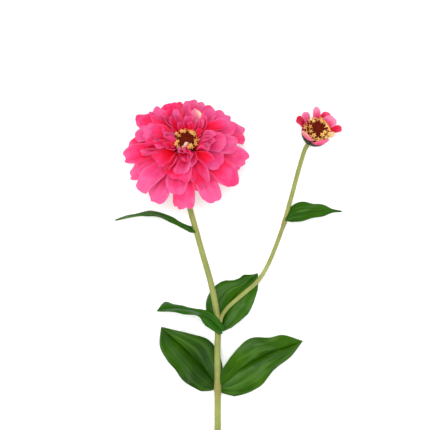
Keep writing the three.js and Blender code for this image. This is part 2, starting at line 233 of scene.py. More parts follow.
def make_piece(name, part, material, node_name, sharp=50):
    """An object from a part in millimetres. It rides on the plant and replaces a CAD node.

    Edges that bend by more than sharp, in degrees, are shaded as sharp ones.
    """
    mesh = bpy.data.meshes.new(name)
    mesh.from_pydata((part["vertices"] * MM).tolist(), [], part["faces"].tolist())
    corners = np.empty(len(mesh.loops), dtype=np.int64)
    mesh.loops.foreach_get("vertex_index", corners)
    mesh.uv_layers.new(name="along_and_across").uv.foreach_set("vector", part["uv"][corners].ravel())
    for key in ("upper", "tone", "pale"):
        mesh.attributes.new(key, "FLOAT", "POINT").data.foreach_set("value", part[key])
    mesh.shade_smooth()
    mesh.set_sharp_from_angle(angle=math.radians(sharp))
    mesh.materials.append(material)
    piece = add_object(name, mesh)
    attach(piece, "root")
    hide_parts(node_name)


# %% [markdown]
# ## Mixing finishes
# Every finish below is a small tree of nodes. These helpers keep each tree to a few lines:
# nodes with their inputs, sums, ramps and mixes of colours. Colours are given as they look
# on a screen, from 0 to 255, and Blender wants them linear.

# %% Nodes and sums
BLACK, GREY, WHITE = (0, 0, 0), (187.5, 187.5, 187.5), (255, 255, 255)  # 0, a half and 1


def screen(red, green, blue):
    """A screen colour as linear numbers, by the standard curve of screens."""
    c = np.array([red, green, blue]) / 255
    return (*np.where(c <= 0.04045, c / 12.92, ((c + 0.055) / 1.055) ** 2.4), 1.0)


def sum_node(operation, swapped=False):
    """A method for Signal that adds a Math node of one kind."""
    def method(self, other=0.0):
        first, second = (other, self) if swapped else (self, other)
        return node(self.tree, "Math", {0: first, 1: second}, operation=operation)
    return method


class Signal:
    """A node's output. Sums of signals are written as sums of numbers are."""

    def __init__(self, socket):
        self.socket, self.tree = socket, socket.id_data

    __add__ = sum_node("ADD")
    __sub__, __rsub__ = sum_node("SUBTRACT"), sum_node("SUBTRACT", swapped=True)
    __mul__, __truediv__ = sum_node("MULTIPLY"), sum_node("DIVIDE")
    __abs__ = sum_node("ABSOLUTE")
    at_least, at_most = sum_node("MAXIMUM"), sum_node("MINIMUM")


def connect(socket, value):
    """Links a signal to a socket, or stores a number, a vector or a screen colour there."""
    if isinstance(value, Signal):
        value.tree.links.new(value.socket, socket)
    else:
        socket.default_value = screen(*value) if socket.type == "RGBA" else value


def node(tree, kind, inputs=None, output=0, **settings):
    """One output of a new node with its settings and inputs."""
    made = tree.nodes.new("ShaderNode" + kind)
    for key, value in settings.items():
        setattr(made, key, value)
    for key, value in (inputs or {}).items():
        connect(made.inputs[key], value)
    return Signal(made.outputs[output])


# %% Colours and patterns
def ramp(factor, stops):
    """A colour that runs through stops, [(place, colour), ...], as factor goes from 0 to 1."""
    made = node(factor.tree, "ValToRGB", {0: factor})
    elements = made.socket.node.color_ramp.elements
    while len(elements) < len(stops):
        elements.new(0.5)
    for element, (place, color) in zip(elements, stops):
        element.position = place
        element.color = screen(*color)
    return made


def mask(factor, start, end):
    """0 where factor is below start, 1 where it is above end, and an even rise between."""
    return ramp(factor, [(start, BLACK), (end, WHITE)])


def mix(factor, first, second, blend="MIX"):
    """Two colours mixed: factor is how much of the second."""
    inputs = {0: factor, 6: first, 7: second}
    return node(first.tree, "Mix", inputs, 2, data_type="RGBA", blend_type=blend)


def streaked(color, amount, pattern, start, end, tint):
    """The colour times tint where pattern is below start, and plain where it is above end."""
    return mix(amount, color, ramp(pattern, [(start, tint), (end, WHITE)]), "MULTIPLY")


def noise(vector, scale, detail=2.0):
    """A soft random value from 0 to 1 at each point of vector."""
    return node(vector.tree, "TexNoise", {"Vector": vector, "Scale": scale, "Detail": detail})


def stretched(vector, along, across):
    """The map of u and v, stretched by along and across."""
    return node(vector.tree, "Mapping", {"Vector": vector, "Scale": (along, across, 1)})


# %% Start and end of a finish
def start_finish(name):
    """A new material, with signals for what the surface knows at each point.

    body is the point in metres, place the map of u and v, and along and across its parts: on
    a sheet, across runs from 0 at one edge to 1 at the other.
    """
    material, tree, shader = start_material(name)
    place = node(tree, "UVMap", uv_map="along_and_across")
    known = {"body": node(tree, "TexCoord", output="Object"), "place": place}
    for k, key in enumerate(["along", "across"]):
        known[key] = node(tree, "SeparateXYZ", {"Vector": place}, k)
    for key in ("upper", "tone", "pale"):
        known[key] = node(tree, "Attribute", output="Fac", attribute_name=key)
    return SimpleNamespace(material=material, shader=shader, **known)


def scatter(share, reach, scale):
    """Light that passes under the surface: red, green and blue go reach times scale, in mm."""
    keys = ("Subsurface Weight", "Subsurface Radius", "Subsurface Scale")
    return dict(zip(keys, (share, reach, scale * MM)))


def finish(at, color, height, strength, depth, looks):
    """The material, with its colour, its bumps, which are depth mm deep, and its looks."""
    bump = {"Height": height, "Strength": strength, "Distance": depth * MM}
    looks = {"Base Color": color, "Normal": node(color.tree, "Bump", bump), **looks}
    for key, value in looks.items():
        connect(at.shader.inputs[key], value)
    return at.material


# %% [markdown]
# ## Petal finish
# A zinnia petal is matte and slightly velvety. It is deep crimson where it leaves the head,
# in part its own colour and in part painted shade of the crowded middle, runs through hot
# pink and is palest at its tip. Fine veins run along it. Thin petals let some light through,
# which subsurface scattering gives: red light travels furthest, so the shadows between the
# petals glow crimson.

# %% Petal material
def petal_material(name, stops, blush):
    """Colour by the distance along the petal, crimson at the base partly as painted shade, then blotches,
    streaks and a paler edge.

    A petal whose pale is above 0 is also bleached, from one corner of its tip inwards.
    """
    at = start_finish(name)
    wander = (noise(at.body, 95) - 0.5) * 0.9
    # Near the base and on low tones the ramp gives crimson, in part painted shade.
    color = ramp(at.along + wander + (at.tone - 0.5) * 0.4, stops)
    blotch = mask(noise(at.body, 45, 3), 0.52, 0.68)
    color = mix(blotch * (1 - at.tone), color, blush)
    veins = noise(stretched(at.place, 1.5, 26), 1.6, 3)
    color = streaked(color, 0.8, veins, 0.3, 0.7, (236, 186, 202))
    edge = mask(abs(at.across - 0.5), 0.34, 0.5)
    color = mix(edge * 0.16, color, (246, 132, 172))
    color = mix((1 - at.upper) * 0.5, color, (226, 40, 90))
    corner = at.along + 0.7 - at.across * 0.7 + wander * 0.6
    reach = corner * 0.5 + (at.pale - 1).at_least(0) * 0.35
    bleach = ramp(reach, [(0.2, BLACK), (0.6, GREY), (0.72, WHITE)])
    cream = ramp(reach, [(0.6, (240, 180, 200)), (0.7, (236, 208, 164))])
    color = mix(bleach * at.pale, color, cream)
    looks = {"Roughness": 0.65, "Specular IOR Level": 0.1, **scatter(0.6, (1.0, 0.2, 0.35), 1.2)}
    return finish(at, color, veins, 0.5, 0.45, looks)


# From a crimson base, in part the petal's colour and in part painted shade of the crowded head, to pale
# pink at the tip.
BLOOM_STOPS = [(0.0, (246, 14, 48)), (0.3, (241, 25, 70)), (0.55, (234, 50, 108)),
               (0.78, (228, 74, 135)), (1.0, (230, 102, 158))]
petal_pink = petal_material("petal_pink", BLOOM_STOPS, (230, 24, 72))
print("petal finish:", len(petal_pink.node_tree.nodes), "nodes")

# %% [markdown]
# ## Where the heads stand
# Each head has an axis. The petals are worked out round an upright axis, and then the whole
# head is leaned over and set in its place. A head's cone carries its petals and its disc.

# %% Heads
# core: the cone's radius at height 0, and how much it narrows with each millimetre upwards.
# foot and top: the heights where the green cup starts and where the cone ends.
BLOOM = dict(origin=(-35, 105.4, 31.9), lean=25.7, turn=3, core=(10.9, 0.154), foot=-14, top=14.5)
BUD = dict(origin=(73.1, 121.7, 19.3), lean=26, turn=24, core=(8.6, 0.1), foot=-13.5, top=0)
TABLE_CLEARANCE = 0.4  # petals that would dip lower lie on the table instead
PRESS_SOFTNESS = 1.5  # how gently they bend where they meet it


def turn_about_z(points, angle):
    """Points turned about the axis by an angle in radians."""
    c, s = math.cos(angle), math.sin(angle)
    return points @ np.array([[c, s, 0], [-s, c, 0], [0, 0, 1]])


def stand(points, head):
    """Points of an upright head, leaned away from upright, turned, and moved to its origin."""
    lean = math.radians(-head["lean"])
    c, s = math.cos(lean), math.sin(lean)
    leaned = points @ np.array([[1, 0, 0], [0, c, s], [0, -s, c]])
    return turn_about_z(leaned, math.radians(-head["turn"])) + np.array(head["origin"])


def press_on_table(points):
    """Points below the table's surface are lifted onto it, and those just above it a little.

    Above the clearance, a height z becomes softness * log(1 + exp(z / softness)).
    """
    z = points[..., 2] - TABLE_CLEARANCE
    lifted = PRESS_SOFTNESS * np.logaddexp(0, z / PRESS_SOFTNESS)
    z = np.where(z < 4 * PRESS_SOFTNESS, lifted, z) + TABLE_CLEARANCE
    return np.concatenate([points[..., :2], z[..., None]], -1)


# %% [markdown]
# ## The shape of a petal
# A petal starts as a narrow claw, widens into a blade, and ends in a blunt, uneven tip. Its
# middle line slants upwards out of the head and arches over. Across, it is cupped like a
# gutter. Some petals are creased down the middle, and on some the edges roll up or back.
# Small waves run round the edge, and low pleats run along the blade over the veins.

# %% Petal surface
MIDDLE_LINE = np.linspace(0, 1.2, 121)  # where the middle line is summed, to past the tip
WIDEST = 0.74  # the share of the length at which a petal is widest


def from_middle(values, v):
    """The running sum of values over v along each row (trapezium rule), from v = 0."""
    steps = (values[:, 1:] + values[:, :-1]) / 2 * np.diff(v, axis=1)
    total = np.concatenate([np.zeros((len(v), 1)), np.cumsum(steps, axis=1)], axis=1)
    return total - total[:, [v.shape[1] // 2]]


def petal_sheet(u, v, petal):
    """The middle of a petal that grows from the axis along +X.

    Along: the middle line's slope turns evenly from rise[0] to rise[1], plus a curl that
    grows with the fourth power of the distance. Across: the section's angle is cup * v, plus
    an edge roll that grows with v^5 and a crease at v = 0, and its sines and cosines are
    summed from the middle. The section then rolls and twists about the middle line. Pleats
    and waves of the edge are added along the blade's normal. The tip is a superellipse.
    """
    p = SimpleNamespace(**petal)
    blunt = 1 - (1 - np.minimum(np.abs(v), 1) ** p.blunt) ** (1 / p.blunt)
    uneven = np.sin(7 * v + p.phase) + 0.6 * np.sin(15 * v + 2.6 * p.phase)
    t = u * (1 - p.round * blunt - p.notch * np.exp(-((v / 0.25) ** 2)) + p.jag * uneven)
    s = MIDDLE_LINE
    slope = np.radians(p.rise[0] + (p.rise[1] - p.rise[0]) * s + p.curl * s**4)
    step = p.length * (s[1] - s[0])
    radius = np.cumsum(np.cos(slope)) * step
    height = np.cumsum(np.sin(slope)) * step
    spread = np.sin(np.minimum(t / WIDEST, 1) * math.pi / 2) ** 1.2
    half = p.width / 2 * (p.claw + (1 - p.claw) * spread)
    turn = np.radians(p.cup[0] + (p.cup[1] - p.cup[0]) * t) * v
    edge = np.where(v > 0, *p.edge)
    turn = turn + np.radians(edge) * t * v**5 + np.radians(p.crease) * np.tanh(v / 0.15)
    y = half * from_middle(np.cos(turn), v)
    lift = half * from_middle(np.sin(turn), v)
    grown = np.clip(t, 0, 1)
    lift = lift + p.pleat * np.cos(3.2 * math.pi * v + p.phase) * np.sin(math.pi * grown**0.8)
    waves = np.sin(2 * math.pi * p.waves * t + p.phase * np.where(v > 0, 1.0, 2.3))
    lift = lift + p.ruffle * t**2 * np.abs(v) ** 3 * waves
    lift = lift + 0.5 * p.ruffle * t**5 * np.sin(4.5 * v + 3 * p.phase)
    lift = lift + 0.3 * p.ruffle * t**2 * np.sin(5 * t + 2 * v + 2 * p.phase)
    roll = np.radians(p.roll + p.twist * t)
    y, lift = y * np.cos(roll) - lift * np.sin(roll), y * np.sin(roll) + lift * np.cos(roll)
    lean = np.interp(t, s, slope)
    return np.stack([
        p.base + np.interp(t, s, radius) - lift * np.sin(lean),
        y + p.sweep * t**2,
        p.height + np.interp(t, s, height) + lift * np.cos(lean),
    ], -1)


# %% One petal
def varied(row):
    """A petal of a row, with its own size, slopes, cup, twist and edge.

    near(spread) is a normal random number, scaled by how much the row varies.
    """
    def near(spread):
        return row["vary"] * rng.normal(0, spread)

    return {
        **row,
        "length": row["length"] * (1 + near(0.06)),
        "width": row["width"] * (1 + near(0.1)),
        "rise": (row["rise"][0] + near(5), row["rise"][1] + near(12)),
        "cup": (row["cup"][0] + near(12), row["cup"][1] + near(24)),
        "edge": (near(35), near(35)),
        "crease": max(0.0, near(14)),
        "curl": row["curl"] + near(22),
        "roll": row["roll"] + near(7),
        "twist": near(16),
        "sweep": near(2.5),
        "phase": rng.uniform(0, 2 * math.pi),
        "notch": max(0.0, row["notch"] + near(0.03)),
    }


def petal_part(head, row, azimuth, own, steps):
    """One petal of a head as a part. The values in own are given, and the rest vary."""
    u, v = grid(*steps)
    v = np.sin(math.pi / 2 * v)  # closer steps near the edges, where the petal curls most
    radius, taper = head["core"]
    petal = {"azimuth": azimuth + rng.normal(0, 6), "tone": rng.uniform(*row["tones"]), "pale": 0}
    petal.update(varied({**row, "base": radius - taper * row["height"] + row["gap"]}))
    petal.update(own)
    points = turn_about_z(petal_sheet(u, v, petal), math.radians(petal["azimuth"]))
    points = press_on_table(stand(points, head))
    return sheet_part(points, 0.55 - 0.3 * u, u, v, petal["tone"], petal["pale"])


# %% [markdown]
# ## The open bloom
# The petals grow on a cone in seven rows. The outer three are long and arch over, so each of
# their petals is a piece of its own. Each row inwards is shorter, narrower and steeper, and
# the innermost petals stand up round the disc. A row is turned by half a petal against the
# next one, so that its petals lie over the gaps, and each petal rolls a little so that one
# edge lies on its neighbour and the other under it.

# %% Rows of petals
PETAL = dict(claw=0.3, round=0.32, blunt=2.2, notch=0.02, jag=0.008, pleat=0.5, ruffle=2.4)
PETAL.update(waves=1.5, vary=0.5, tones=(0, 1), gap=0.4, roll=8, curl=0)
ROW_KEYS = ("name", "count", "height", "length", "width", "rise", "cup")


def petal_row(*values, **rest):
    """A row of petals: values for ROW_KEYS, in millimetres or in degrees from base to tip."""
    return {**PETAL, **dict(zip(ROW_KEYS, values)), **rest}


# The tones fall towards the middle, so the inner rows run crimson: painted shade of the deep middle of
# the head.
BLOOM_ROWS = [
    petal_row("outer_petal", 11, 0.6, 41.5, 18, (12, -45), (30, -36),
              tones=(0.4, 1.1), ruffle=3, pleat=1),
    petal_row("second_row_petal", 11, 2.7, 37.5, 18, (24, -34), (40, -20),
              tones=(0.3, 1.1), vary=0.7, ruffle=3, pleat=1),
    petal_row("third_row_petal", 10, 4.8, 33.5, 16, (36, -20), (56, 10),
              tones=(0.1, 0.8), vary=1, ruffle=3.2, pleat=0.8),
    petal_row("fourth_row_petals", 11, 6.9, 26, 16, (50, 4), (76, 56),
              tones=(-0.4, 0.9), vary=1.3, ruffle=3.2),
    petal_row("fifth_row_petals", 10, 9.0, 22, 14.5, (56, 30), (86, 74),
              tones=(-0.5, 0.8), vary=1.4, ruffle=3.2),
    petal_row("sixth_row_petals", 9, 11.0, 17, 11.5, (60, 40), (70, 60), tones=(-0.4, 0.5), vary=1),
    petal_row("inner_row_petals", 7, 13.1, 11, 8, (70, 54), (80, 70), tones=(-0.4, 0.4), vary=1),
]
SEPARATE_ROWS = 3  # the rows whose petals are pieces of their own
print("petals in the bloom:", sum(row["count"] for row in BLOOM_ROWS))

# %% Petals given one by one
def placed(azimuth, length, width, **rest):
    """What is given for one petal."""
    return dict(rest, azimuth=azimuth, length=length, width=width)


# The petals of the outer rows one by one: azimuth, length, width.
REACH = {
    "outer_petal": [
        (102, 43, 15), (143, 44, 19), (173, 45, 16), (207, 42, 18), (244.5, 43, 17), (271, 42.5, 18.5),
        (300, 41, 18.5), (345, 40, 18), (36, 51, 23), (50, 40, 19), (80, 43, 16),
    ],
    "second_row_petal": [
        (88, 38, 15), (126, 35, 16), (165, 35.5, 17), (190, 42, 16), (230, 45, 20), (258, 33, 18),
        (283, 30, 19), (325, 43.5, 20), (350, 41.5, 18), (22, 45, 20), (64, 34, 16),
    ],
    "third_row_petal": [
        (119, 29, 20), (139, 31, 15), (169, 28, 16), (206, 29, 17), (258, 26, 23), (298, 26, 20),
        (330, 26, 19), (358, 34, 17), (32, 34, 16), (75, 19, 14),
    ],
}
# Single petals that stand out: rolled, creased, cupped or bleached ones.
CALM = dict(twist=0, edge=(0, 0), crease=0)
QUILL = dict(cup=(130, 150), edge=(20, 20), crease=0, curl=0, twist=0)
# The low tones set here darken single petals to crimson: painted shade, where other petals shadow them.
OWN = {
    "outer_petal": {
        1: dict(tone=0),
        2: dict(edge=(30, 10), tone=0.1, twist=0, roll=-4, rise=(14, -26)),
        3: dict(roll=-6),
        4: dict(edge=(0, 70), tone=0.8),
        6: dict(round=0.2, blunt=3, jag=0.02, crease=0),
        7: dict(edge=(110, 0)),
        9: dict(round=0.45, roll=0, crease=0),
    },
    "second_row_petal": {
        1: CALM,
        4: dict(CALM, roll=-12, cup=(30, 0)),
        5: dict(blunt=3),
        7: dict(ruffle=2.6, crease=0),
        8: dict(edge=(30, -20)),
        10: dict(cup=(24, 0), roll=0, edge=(0, 0), tone=0.1),
    },
    "third_row_petal": {
        1: dict(tone=-0.2),
        4: dict(cup=(120, 130), tone=0.7, roll=-18, twist=0, edge=(0, 0)),
        5: dict(tone=-0.2, cup=(30, -10), blunt=3, roll=0),
    },
    "fourth_row_petals": {
        1: placed(91, 26.5, 9.5, rise=(62, 40), cup=(40, 30), crease=40, tone=0.9),
        2: placed(124, 29, 14, rise=(62, 38), cup=(50, 24), roll=0, tone=-0.2, **CALM),
        11: placed(56, 23.5, 16, rise=(66, 50), cup=(36, 20), curl=0, roll=-10, tone=1.2, pale=0.95,
                   **CALM),
    },
    "fifth_row_petals": {
        1: placed(111, 24, 8, rise=(70, 50), edge=(90, 20), tone=0.9),
        5: placed(196, 17, 14, rise=(70, 64), tone=0.6, **QUILL),
        7: placed(272, 15, 12, rise=(70, 62), tone=0.4, **QUILL),
        9: dict(azimuth=356, width=13, cup=(100, 90), tone=0.9),
        10: dict(azimuth=24, width=13, cup=(120, 110), tone=0.4),
    },
    "sixth_row_petals": {
        1: placed(97, 18, 10, tone=0.6),
        9: dict(azimuth=44, tone=0.8),
    },
    "inner_row_petals": {
        5: placed(264, 11, 6, rise=(92, 118), pale=1.1, tone=1.4),
    },
}
for name, values in REACH.items():
    for k, reach in enumerate(values, start=1):
        OWN[name][k] = {**placed(*reach), **OWN[name].get(k, {})}
print("petals set by hand:", sum(map(len, OWN.values())))

# %% The bloom's petals
LONG_PETAL_STEPS = (34, 22)  # quads along and across
SHORT_PETAL_STEPS = (22, 14)

for i, row in enumerate(BLOOM_ROWS):
    start = 90 + 180 / row["count"] * ((i + 1) % 2)
    separate = i < SEPARATE_ROWS
    parts = []
    for k in range(row["count"]):
        name = f"{row['name']}_{k + 1:02d}"
        azimuth = start + 360 * k / row["count"]
        own = OWN[row["name"]].get(k + 1, {})
        if not separate:  # the petals at the far side of the disc are longer and stand steeper
            far = math.sin(math.radians(azimuth))
            rise = (row["rise"][0] + 10 * far, row["rise"][1] + 20 * far)
            own = {"length": row["length"] * (1 + 0.2 * far), "rise": rise, **own}
        steps = LONG_PETAL_STEPS if separate else SHORT_PETAL_STEPS
        parts.append(petal_part(BLOOM, row, azimuth, own, steps))
        if separate:
            make_piece("bloom_" + name, parts[k], petal_pink, name)
    if not separate:
        make_piece("bloom_" + row["name"], joined(parts), petal_pink, row["name"])
    print(row["name"], "petals:", len(parts))

# %% [markdown]
# ## The disc
# The middle of a zinnia is a low dome of many closed, pointed, maroon florets, packed
# in the spiral of a sunflower: each is turned from the last by the golden angle. Round the
# dome stand the florets that are open: yellow trumpets with five curved lobes each.

# %% Disc and floret finishes
def speckled_material(name, dark, light, scale, roughness):
    """Two colours mixed by each floret's tone, by its height from base to tip, and by noise."""
    at = start_finish(name)
    grain = noise(at.body, scale, 3)
    color = ramp(at.tone * 0.5 + at.along * 0.35 + grain * 0.3, [(0.1, dark), (0.95, light)])
    under = scatter(0.15, (1.0, 0.5, 0.2), 0.6)
    looks = {"Roughness": roughness, "Specular IOR Level": 0.15, **under}
    return finish(at, color, grain, 0.3, 0.2, looks)


disc_maroon = speckled_material("disc_maroon", (62, 8, 2), (146, 36, 10), 900, 0.7)
floret_gold = speckled_material("floret_gold", (222, 128, 44), (255, 216, 126), 700, 0.55)

# %% Floret shapes
def ring_grid(rows, columns):
    """Two arrays: u from 0 to 1 down the rows, and the angle once round along them."""
    angles = 2 * math.pi * np.arange(columns) / columns
    return np.meshgrid(np.linspace(0, 1, rows), angles, indexing="ij")


def turned(radius, height, angle):
    """Points at a radius and a height from the axis."""
    return np.stack(np.broadcast_arrays(radius * np.cos(angle), radius * np.sin(angle), height), -1)


def facing_along(points, direction, spin):
    """Points that stand along +Z, spun about it and then turned to stand along a direction."""
    direction = unit(np.array(direction, dtype=float))
    side = unit(np.cross((0.3, 0.2, 1) if abs(direction[2]) < 0.9 else (1, 0, 0), direction))
    return turn_about_z(points, spin) @ np.stack([side, np.cross(direction, side), direction])


def closed_floret(length, width):
    """A pointed bud: its radius is width / 2 * (0.08 + sin(pi u^0.8)), short of both ends."""
    u, angle = ring_grid(6, 6)
    radius = width / 2 * (0.08 + np.sin(math.pi * np.clip(u, 0.04, 0.97) ** 0.8))
    return turned(radius, length * u, angle)


def open_floret(length, flare, lobe):
    """A trumpet whose radius grows with t^3 and whose rim bends down by t^6.

    t is u, cut short by lobe * |sin(5/2 angle)|^0.7, so that the rim has five lobes.
    """
    u, angle = ring_grid(11, 20)
    t = u * (1 - lobe * np.abs(np.sin(2.5 * angle)) ** 0.7)
    radius = 0.4 + 0.25 * t + flare * t**3
    height = length * (t - 0.25 * t**6)
    return turned(radius, height, angle), u, angle / math.pi - 1


# %% Discs and rings of florets
GOLDEN_ANGLE = math.pi * (3 - math.sqrt(5))
DISC_RADIUS = 6.6
CLOSED_FLORETS = 110


def make_disc(name, head, dome, depth, node_name):
    """A dome with closed florets in a golden-angle spiral, and dark chaff down the cone.

    Floret k stands at radius DISC_RADIUS * sqrt((k + 1/2) / count) and leans outwards.
    """
    top = head["top"] + 0.3
    u, angle = ring_grid(12, 24)
    bulge = turned(DISC_RADIUS * np.cos(u * 1.5), top + dome * 0.7 * np.sin(u * math.pi / 2), angle)
    down, out = np.array([[depth, 0, -0.3], [0.3, 0.3, -0.4]])[..., None]  # from the cone's rim
    _, angle = ring_grid(3, 24)
    radius, taper = head["core"]
    chaff = turned(radius - taper * (head["top"] - down) + out, head["top"] - down, angle)
    parts = [loft_part(bulge, 0), loft_part(chaff, 0)]
    for k in range(CLOSED_FLORETS):
        share = math.sqrt((k + 0.5) / CLOSED_FLORETS)
        turn = k * GOLDEN_ANGLE
        outward = share * np.array([math.cos(turn), math.sin(turn), 0])
        foot = DISC_RADIUS * outward + (0, 0, top + 0.6 * dome * (1 - share**2))
        lean = 0.55 * outward + (*rng.normal(0, 0.12, 2), 1)
        bud = closed_floret(rng.uniform(1.3, 2.2), rng.uniform(0.75, 1.05))
        parts.append(loft_part(facing_along(bud, lean, rng.uniform(0, 6)) + foot, rng.uniform()))
    part = joined(parts)
    part["vertices"] = stand(part["vertices"], head)
    make_piece(name, part, disc_maroon, node_name)
    print(name, CLOSED_FLORETS)


def make_open_florets(name, head, rings, size, node_name):
    """A collar and rings of open florets. Each ring is (count, radius, height, outward lean)."""
    u, angle = ring_grid(4, 40)
    collar = turned(6.4 + 1.4 * np.sin(math.pi * u), head["top"] - 1.2 + 1.6 * u, angle)
    parts = [loft_part(stand(collar, head), 0)]
    for count, radius, height, outward in rings:
        for k in range(count):
            turn = 2 * math.pi * (k + rng.uniform(-0.25, 0.25)) / count
            round_axis = np.array([math.cos(turn), math.sin(turn), 1])
            lean = round_axis * (*(outward + rng.normal(0, 0.25, 2)), 1)
            foot = round_axis * (radius, radius, head["top"] + height)
            length, flare = size * rng.uniform(0.75, 1.2), size * rng.uniform(0.26, 0.38)
            points, u, v = open_floret(length, flare, rng.uniform(0.3, 0.52))
            points = stand(facing_along(points, lean, rng.uniform(0, 6)) + foot, head)
            parts.append(sheet_part(points, 0.24, u, v, rng.uniform(), ring=True))
    make_piece(name, joined(parts), floret_gold, node_name)
    print(name, len(parts) - 1)


BLOOM_FLORETS = [(7, 6.8, 0.6, 0.15), (14, 7.7, 0.0, 0.4)]

make_disc("bloom_disc_florets", BLOOM, 4, 10, "bloom_disc")
make_open_florets("bloom_open_florets", BLOOM, BLOOM_FLORETS, 4.8, "bloom_florets")

# %% [markdown]
# ## Under the head
# Each head sits in a green cup of blunt scales that overlap like roof tiles. The lowest
# scales are the shortest and lie outside the others. Each has a dry, dark brown margin.
# Inside the cup, a green cone carries the petals and the disc.

# %% Calyx finish
def calyx_material():
    """Green scales with dark margins: the margin is where u nears 1 or v nears an edge."""
    at = start_finish("calyx_green")
    grain = noise(at.body, 500, 3)
    rim = at.along.at_least(abs(at.across - 0.5) * 1.9) + (grain - 0.5) * 0.1
    green = ramp(grain, [(0.3, (54, 84, 32)), (0.7, (92, 124, 52))])
    color = mix(mask(rim, 0.84, 0.9) * at.tone, green, (44, 26, 20))
    return finish(at, color, grain, 0.3, 0.2, {"Roughness": 0.55})


calyx_green = calyx_material()

# %% Calyx shape
SCALE_ROWS = [(13, 1.0), (12, 0.82), (10, 0.62), (8, 0.42)]  # count, share of the cup's profile


def spline(knots, share):
    """A smooth curve through knots: the cubic through each pair, whose slope at a knot is half
    the step between that knot's neighbours."""
    knots = np.asarray(knots, dtype=float)
    padded = np.concatenate([[2 * knots[0] - knots[1]], knots, [2 * knots[-1] - knots[-2]]])
    place = np.clip(share, 0, 1) * (len(knots) - 1)
    first = np.minimum(place.astype(int), len(knots) - 2)
    t = (place - first)[..., None]
    a, b, c, d = (padded[first + k] for k in range(4))
    return b + t / 2 * (c - a + t * (2 * a - 5 * b + 4 * c - d + t * (3 * b - a - 3 * c + d)))


def calyx_scale(u, v, cup, azimuth, reach, half_angle, lift):
    """A blunt tongue that follows the cup's profile out to a share of it, reach.

    The profile is read at reach * u * (1 - |v|^2.5 / 4), and the scale stands lift outside
    it, and a little more at its tip. Its width grows as the square root of a sine of u.
    """
    share = reach * u * (1 - 0.25 * np.abs(v) ** 2.5)
    s = np.linspace(0, 1, len(cup))
    radius = np.interp(share, s, cup[:, 0]) + lift + 0.5 * u**4
    height = np.interp(share, s, cup[:, 1])
    wide = np.sqrt(np.sin(math.pi / 2 * np.clip(0.25 + 0.75 * u, 0, 1)))
    return turned(radius, height, azimuth + half_angle * v * wide)


def make_calyx(name, head, rim_radius, rim_height, inside, node_name):
    """The cup and the cone as one turned solid, and four rows of scales round the cup.

    The cone leaves the cup at the height inside. The scales have tone 1, for dark margins.
    """
    foot = head["foot"]
    radius, taper = head["core"]
    knots = [(2.6, foot), (rim_radius * 0.62, foot + 1.6), (rim_radius * 0.9, foot + 5),
             (rim_radius, rim_height - 1.8), (rim_radius - 0.4, rim_height)]
    cup = spline(knots, np.linspace(0, 1, 30))
    cone = [(radius - taper * inside, inside), (radius - taper * head["top"], head["top"])]
    profile = np.concatenate([[(1.6, foot)], cup, cone])
    _, angle = ring_grid(len(profile), 48)
    parts = [loft_part(turned(profile[:, :1], profile[:, 1:], angle), 0)]
    u, v = grid(12, 8)
    for row, (count, reach) in enumerate(SCALE_ROWS):
        for k in range(count):
            azimuth = 2 * math.pi * (k + 0.5 * (row % 2)) / count + rng.normal(0, 0.03)
            lift = 0.25 + 0.32 * row + 0.08 * (k % 2)
            points = calyx_scale(u, v, cup, azimuth, reach * rng.uniform(0.95, 1.02), 3.9 / count, lift)
            parts.append(sheet_part(points, 0.3 - 0.12 * u, u, v, 1))
    part = joined(parts)
    part["vertices"] = stand(part["vertices"], head)
    make_piece(name, part, calyx_green, node_name, sharp=35)
    print(name, "scales:", len(parts) - 1)


make_calyx("bloom_green_cup", BLOOM, 13.4, -0.5, 0, "bloom_calyx")

# %% [markdown]
# ## The half-open bud
# The bud on the side branch has one row of nine short petals round a disc as wide as the
# bloom's. Most are cupped and stand steeply. The two lowest lean out over the rim of the cup
# and curl up again. Its colours are a little cooler and paler than the bloom's.

# %% Bud petals
BUD_ROW = petal_row("bud_petal", 9, -2.8, 12, 10, (66, 40), (40, 30),
                    claw=0.55, ruffle=0.6, pleat=0.1, gap=1)
BUD_OWN = [
    placed(87, 11, 8, tone=-0.6),
    placed(116, 13, 9, tone=0.6, cup=(60, 60), round=0.8),
    placed(170, 15, 11, tone=0.5, cup=(40, 60), rise=(68, 58), claw=0.8),
    placed(194, 16.5, 11.5, rise=(60, 52), tone=-0.1, cup=(40, 50), claw=0.9),
    placed(240, 12, 14, rise=(28, 116), tone=0.2, pale=0.6, claw=0.8),
    placed(303, 13.5, 17, rise=(18, 130), tone=0.8, round=0.7, claw=0.8),
    placed(358, 9, 6.5, rise=(66, 46), tone=1, pale=2, cup=(60, 60)),
    placed(23, 13.5, 7.5, rise=(56, 26), tone=-0.6, cup=(70, 60)),
    placed(60, 12, 12, tone=0.8, cup=(50, 50), rise=(72, 44)),
]
BUD_STOPS = [(0.0, (200, 26, 64)), (0.3, (210, 54, 96)), (0.65, (224, 100, 146)),
             (1.0, (234, 154, 190))]
BUD_PETAL_STEPS = (26, 16)

bud_pink = petal_material("bud_pink", BUD_STOPS, (204, 28, 64))
for k, own in enumerate(BUD_OWN, start=1):
    name = f"bud_petal_{k:02d}"
    part = petal_part(BUD, BUD_ROW, own["azimuth"], own, BUD_PETAL_STEPS)
    make_piece("half_open_" + name, part, bud_pink, name)
print("bud petals:", len(BUD_OWN))

# %% The bud's disc and cup
BUD_FLORETS = [(8, 6.8, 0.5, 0.15), (16, 8.3, -0.6, 0.7)]

make_disc("bud_disc_florets", BUD, 3.8, 3.4, "bud_disc")
make_open_florets("bud_open_florets", BUD, BUD_FLORETS, 5, "bud_florets")
make_calyx("bud_green_cup", BUD, 10.5, -2.8, -3.6, "bud_calyx")

